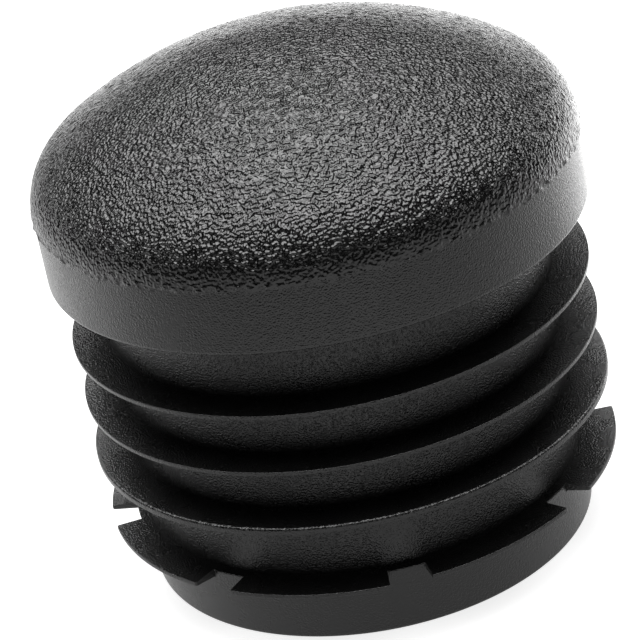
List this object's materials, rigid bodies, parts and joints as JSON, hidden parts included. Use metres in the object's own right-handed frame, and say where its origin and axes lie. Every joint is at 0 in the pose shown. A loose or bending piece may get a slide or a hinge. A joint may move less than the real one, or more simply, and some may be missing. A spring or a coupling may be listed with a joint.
{
  "type": "tube end cap",
  "caption": "Moulded round tube end cap: a grained dome on a smooth head, over a hollow insert with thin gripping ribs, a ring of notched flaps and a tapered collar.",
  "frame": {"origin": "centre of the insert's open end, on the axis", "axes": "+Z along the axis, from the open end towards the dome; one notch of the ring of flaps is centred on +X and one on -Y"},
  "size_m": [0.0402, 0.0402, 0.0398],
  "materials": {
    "polyethylene": "black moulded polyethylene: coarse leather-like grain on the dome, fine matte skin on the head's side and on the insert"
  },
  "bodies": {
    "root": {"end_cap": "polyethylene"}
  },
  "joints": []
}
